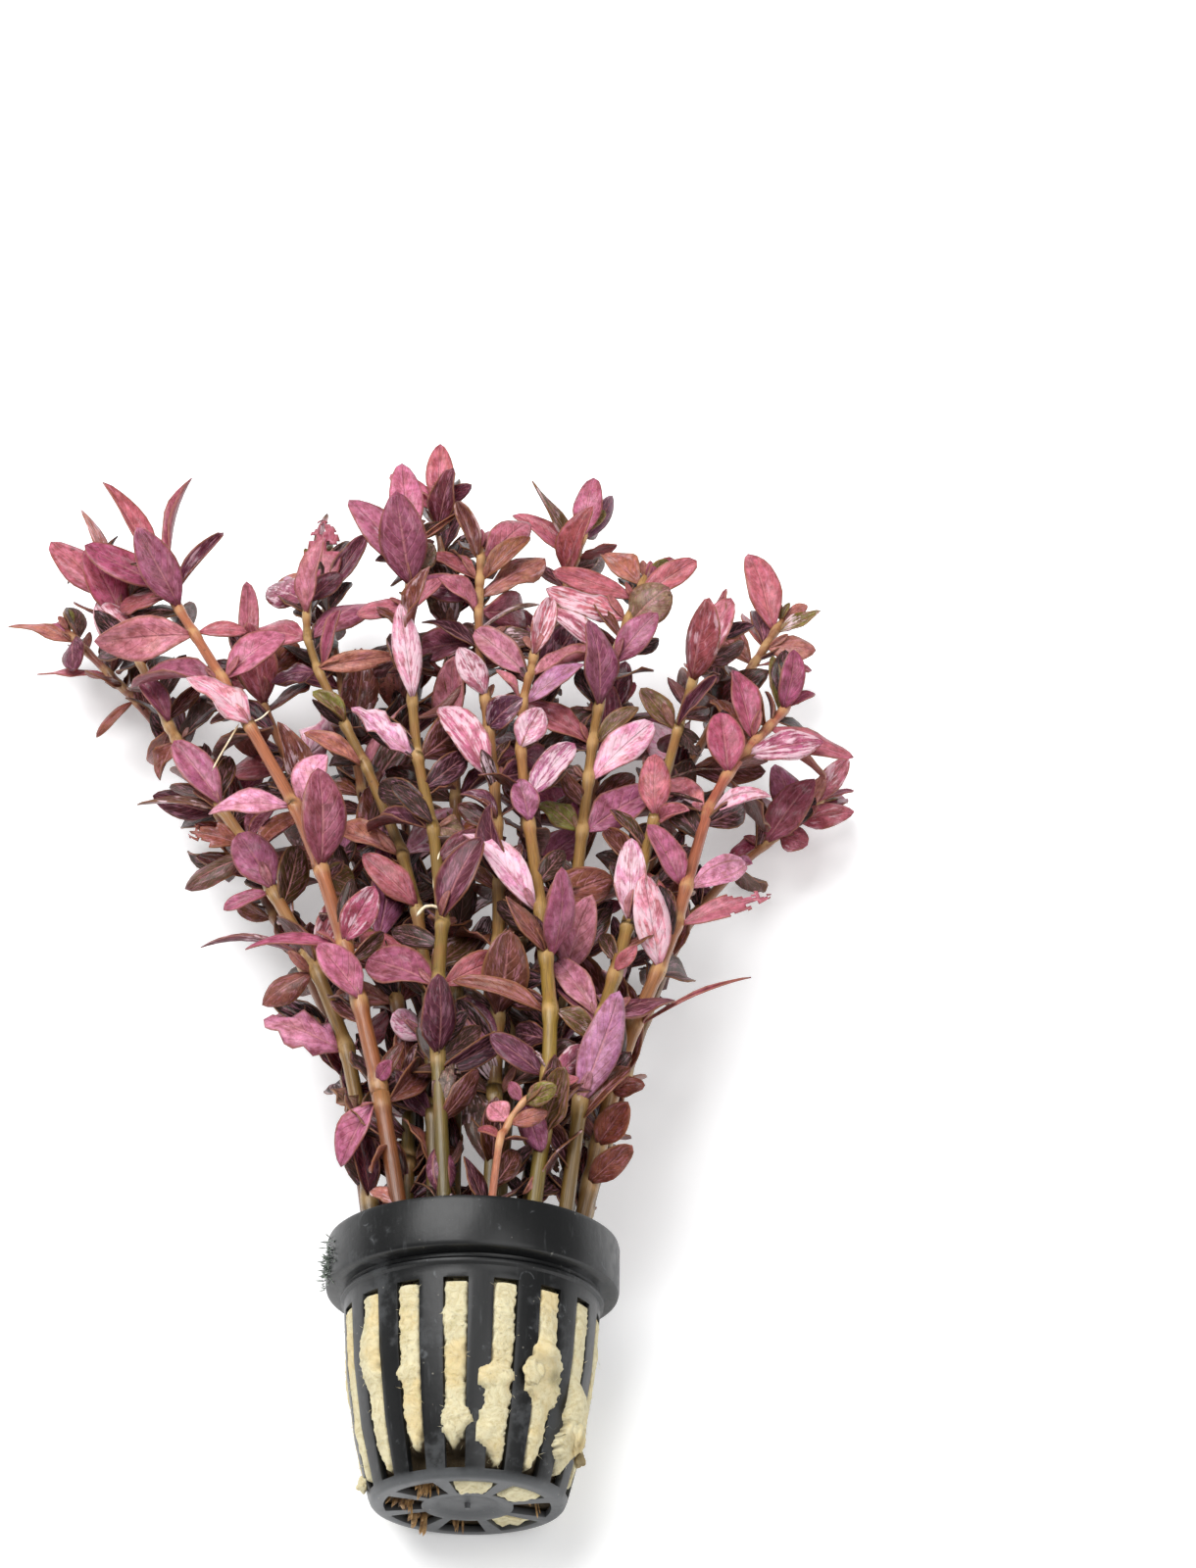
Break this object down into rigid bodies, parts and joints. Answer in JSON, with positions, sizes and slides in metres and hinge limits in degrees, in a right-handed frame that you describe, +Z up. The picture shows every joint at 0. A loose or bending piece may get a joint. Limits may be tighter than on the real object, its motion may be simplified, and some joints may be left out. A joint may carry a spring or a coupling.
{
  "type": "potted aquarium stem plant",
  "caption": "Red-leaved aquarium stem plant lying on its side: a fan of leafy shoots growing from rock wool in a black slotted net pot.",
  "frame": {"origin": "under the middle of the plant's bounding box, on the surface it lies on", "axes": "+Y runs from the pot's foot to the shoot tips, +X is to the right seen from the pot's foot, +Z is up from the surface"},
  "size_m": [0.1414, 0.2022, 0.0554],
  "materials": {
    "pot_plastic": "satin",
    "wool": "matte",
    "plant_rose": "satin",
    "plant_magenta": "satin",
    "plant_plum": "satin",
    "plant_olive": "satin"
  },
  "bodies": {
    "root": {"net_pot": "pot_plastic", "rock_wool": "wool", "shoot_front_left": "plant_rose", "shoot_left": "plant_magenta", "shoot_low_left": "plant_plum", "shoot_under_left": "plant_olive", "shoot_mid_left": "plant_rose", "shoot_centre_left": "plant_magenta", "shoot_centre": "plant_plum", "shoot_centre_right": "plant_olive", "shoot_mid_right": "plant_rose", "shoot_right": "plant_magenta", "shoot_front_right": "plant_plum", "shoot_low_right": "plant_olive", "shoot_back_right": "plant_rose", "shoot_back_centre": "plant_magenta", "shoot_back_left": "plant_plum", "shoot_far_left": "plant_olive", "shoot_under_centre": "plant_rose", "shoot_under_right": "plant_magenta", "short_side_shoot": "plant_plum"}
  },
  "joints": []
}
